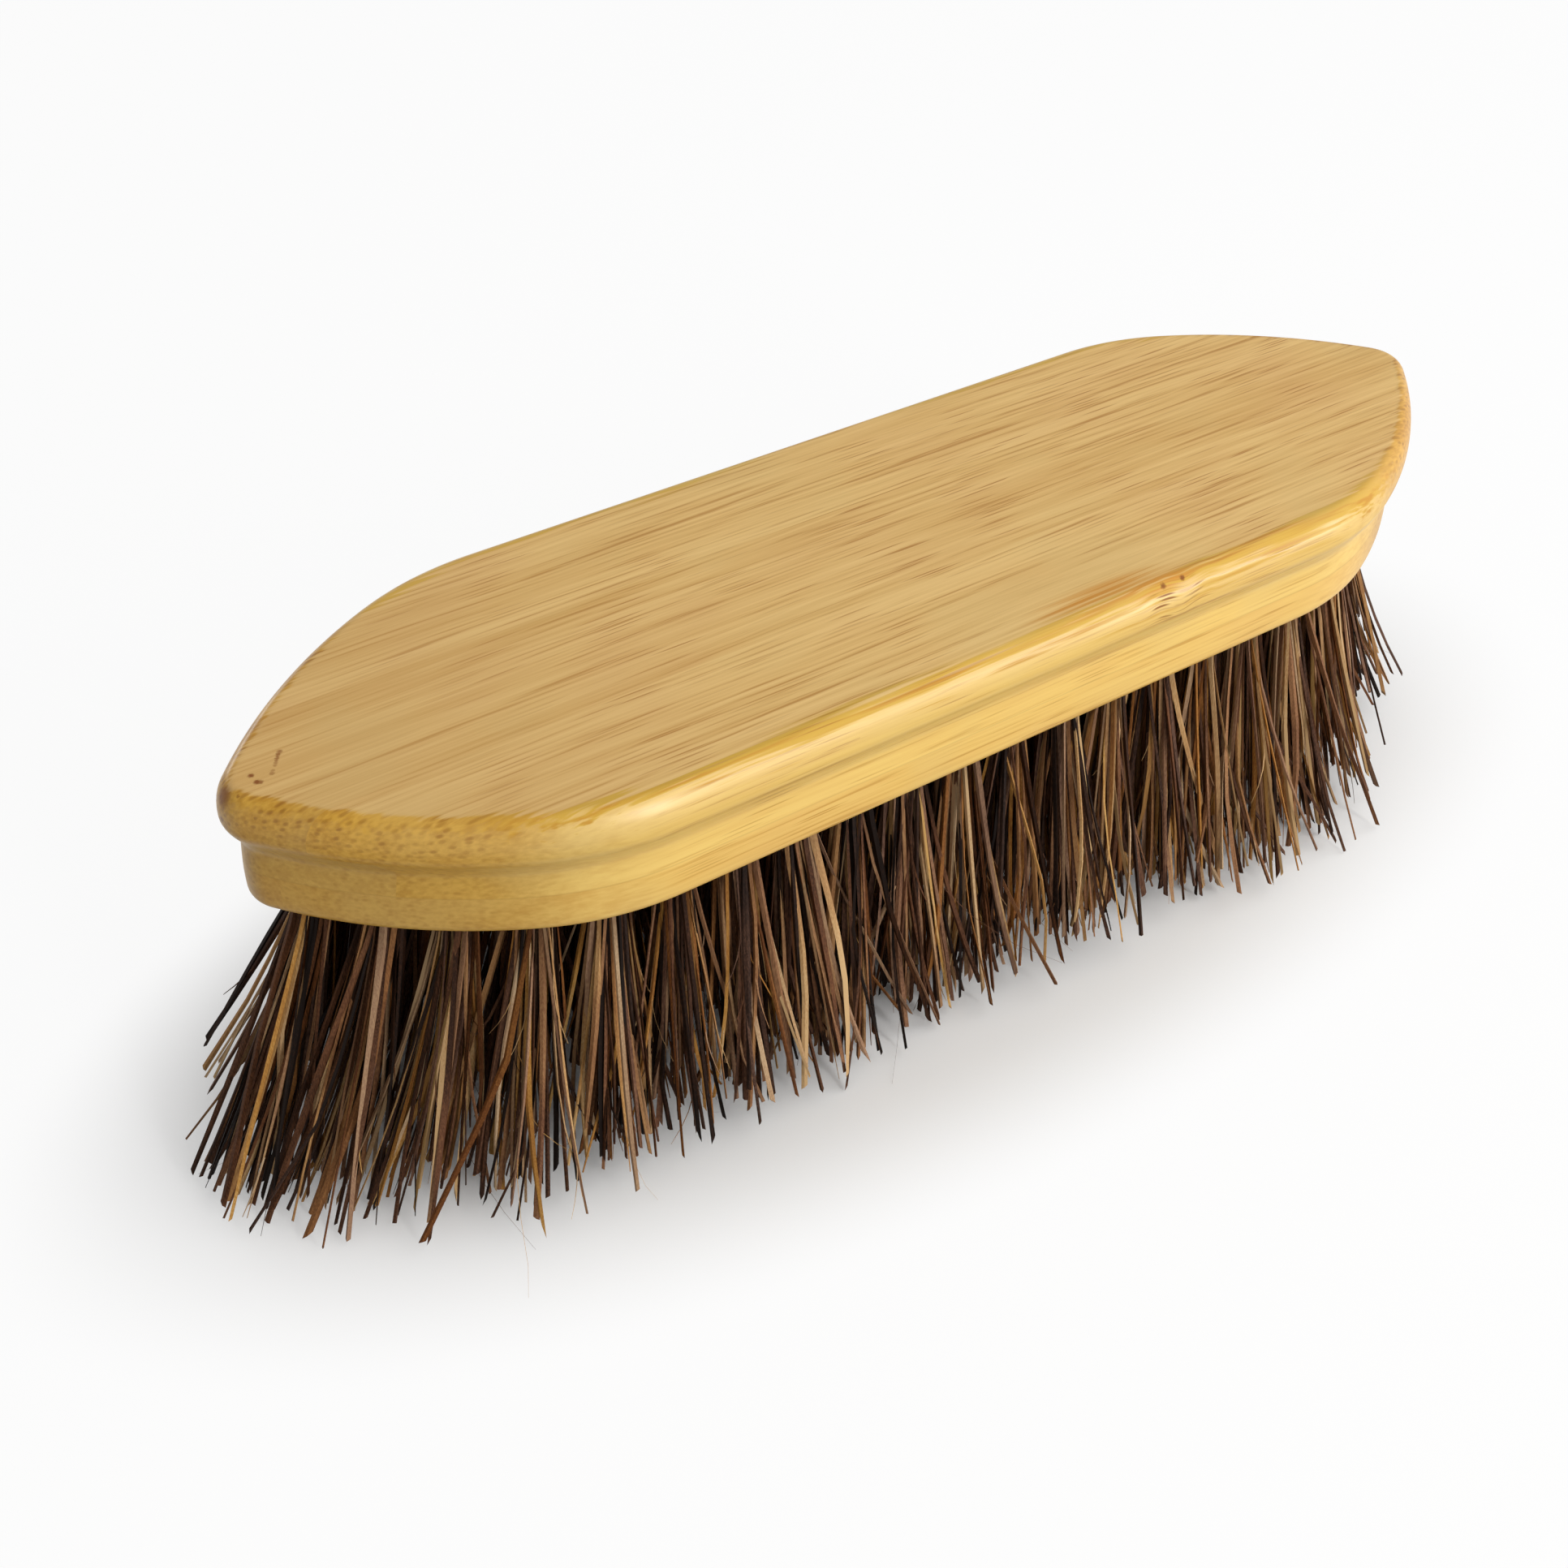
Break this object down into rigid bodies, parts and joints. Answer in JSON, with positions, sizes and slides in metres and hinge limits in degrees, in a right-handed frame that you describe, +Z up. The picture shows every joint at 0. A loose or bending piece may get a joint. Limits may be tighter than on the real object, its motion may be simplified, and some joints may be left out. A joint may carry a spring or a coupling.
{
  "type": "dandy brush",
  "caption": "Boat-shaped grooming brush: a laminated bamboo block with a moulded edge, set on its face with flared tufts of stiff dark palm fibre.",
  "frame": {"origin": "middle of the footprint, on the plane of the trimmed fibre tips that the brush stands on", "axes": "+X along the brush, +Y across it, +Z up through the back of the block"},
  "size_m": [0.2254, 0.07, 0.0652],
  "materials": {
    "bamboo_back": "sanded bamboo under satin lacquer",
    "bamboo_core": "sanded bamboo under satin lacquer",
    "bamboo_face": "sanded bamboo under satin lacquer",
    "palm_fibre": "split palm leaf-stalk fibre, dull with a faint sheen"
  },
  "bodies": {
    "root": {"back_ply_near_strip": "bamboo_back", "back_ply_middle_strip": "bamboo_back", "back_ply_far_strip": "bamboo_back", "core_ply_near_strip": "bamboo_core", "core_ply_middle_strip": "bamboo_core", "core_ply_far_strip": "bamboo_core", "face_ply_near_strip": "bamboo_face", "face_ply_middle_strip": "bamboo_face", "face_ply_far_strip": "bamboo_face", "outer_tuft_ring": "palm_fibre", "inner_tuft_ring": "palm_fibre", "centre_tuft_row": "palm_fibre"}
  },
  "joints": []
}
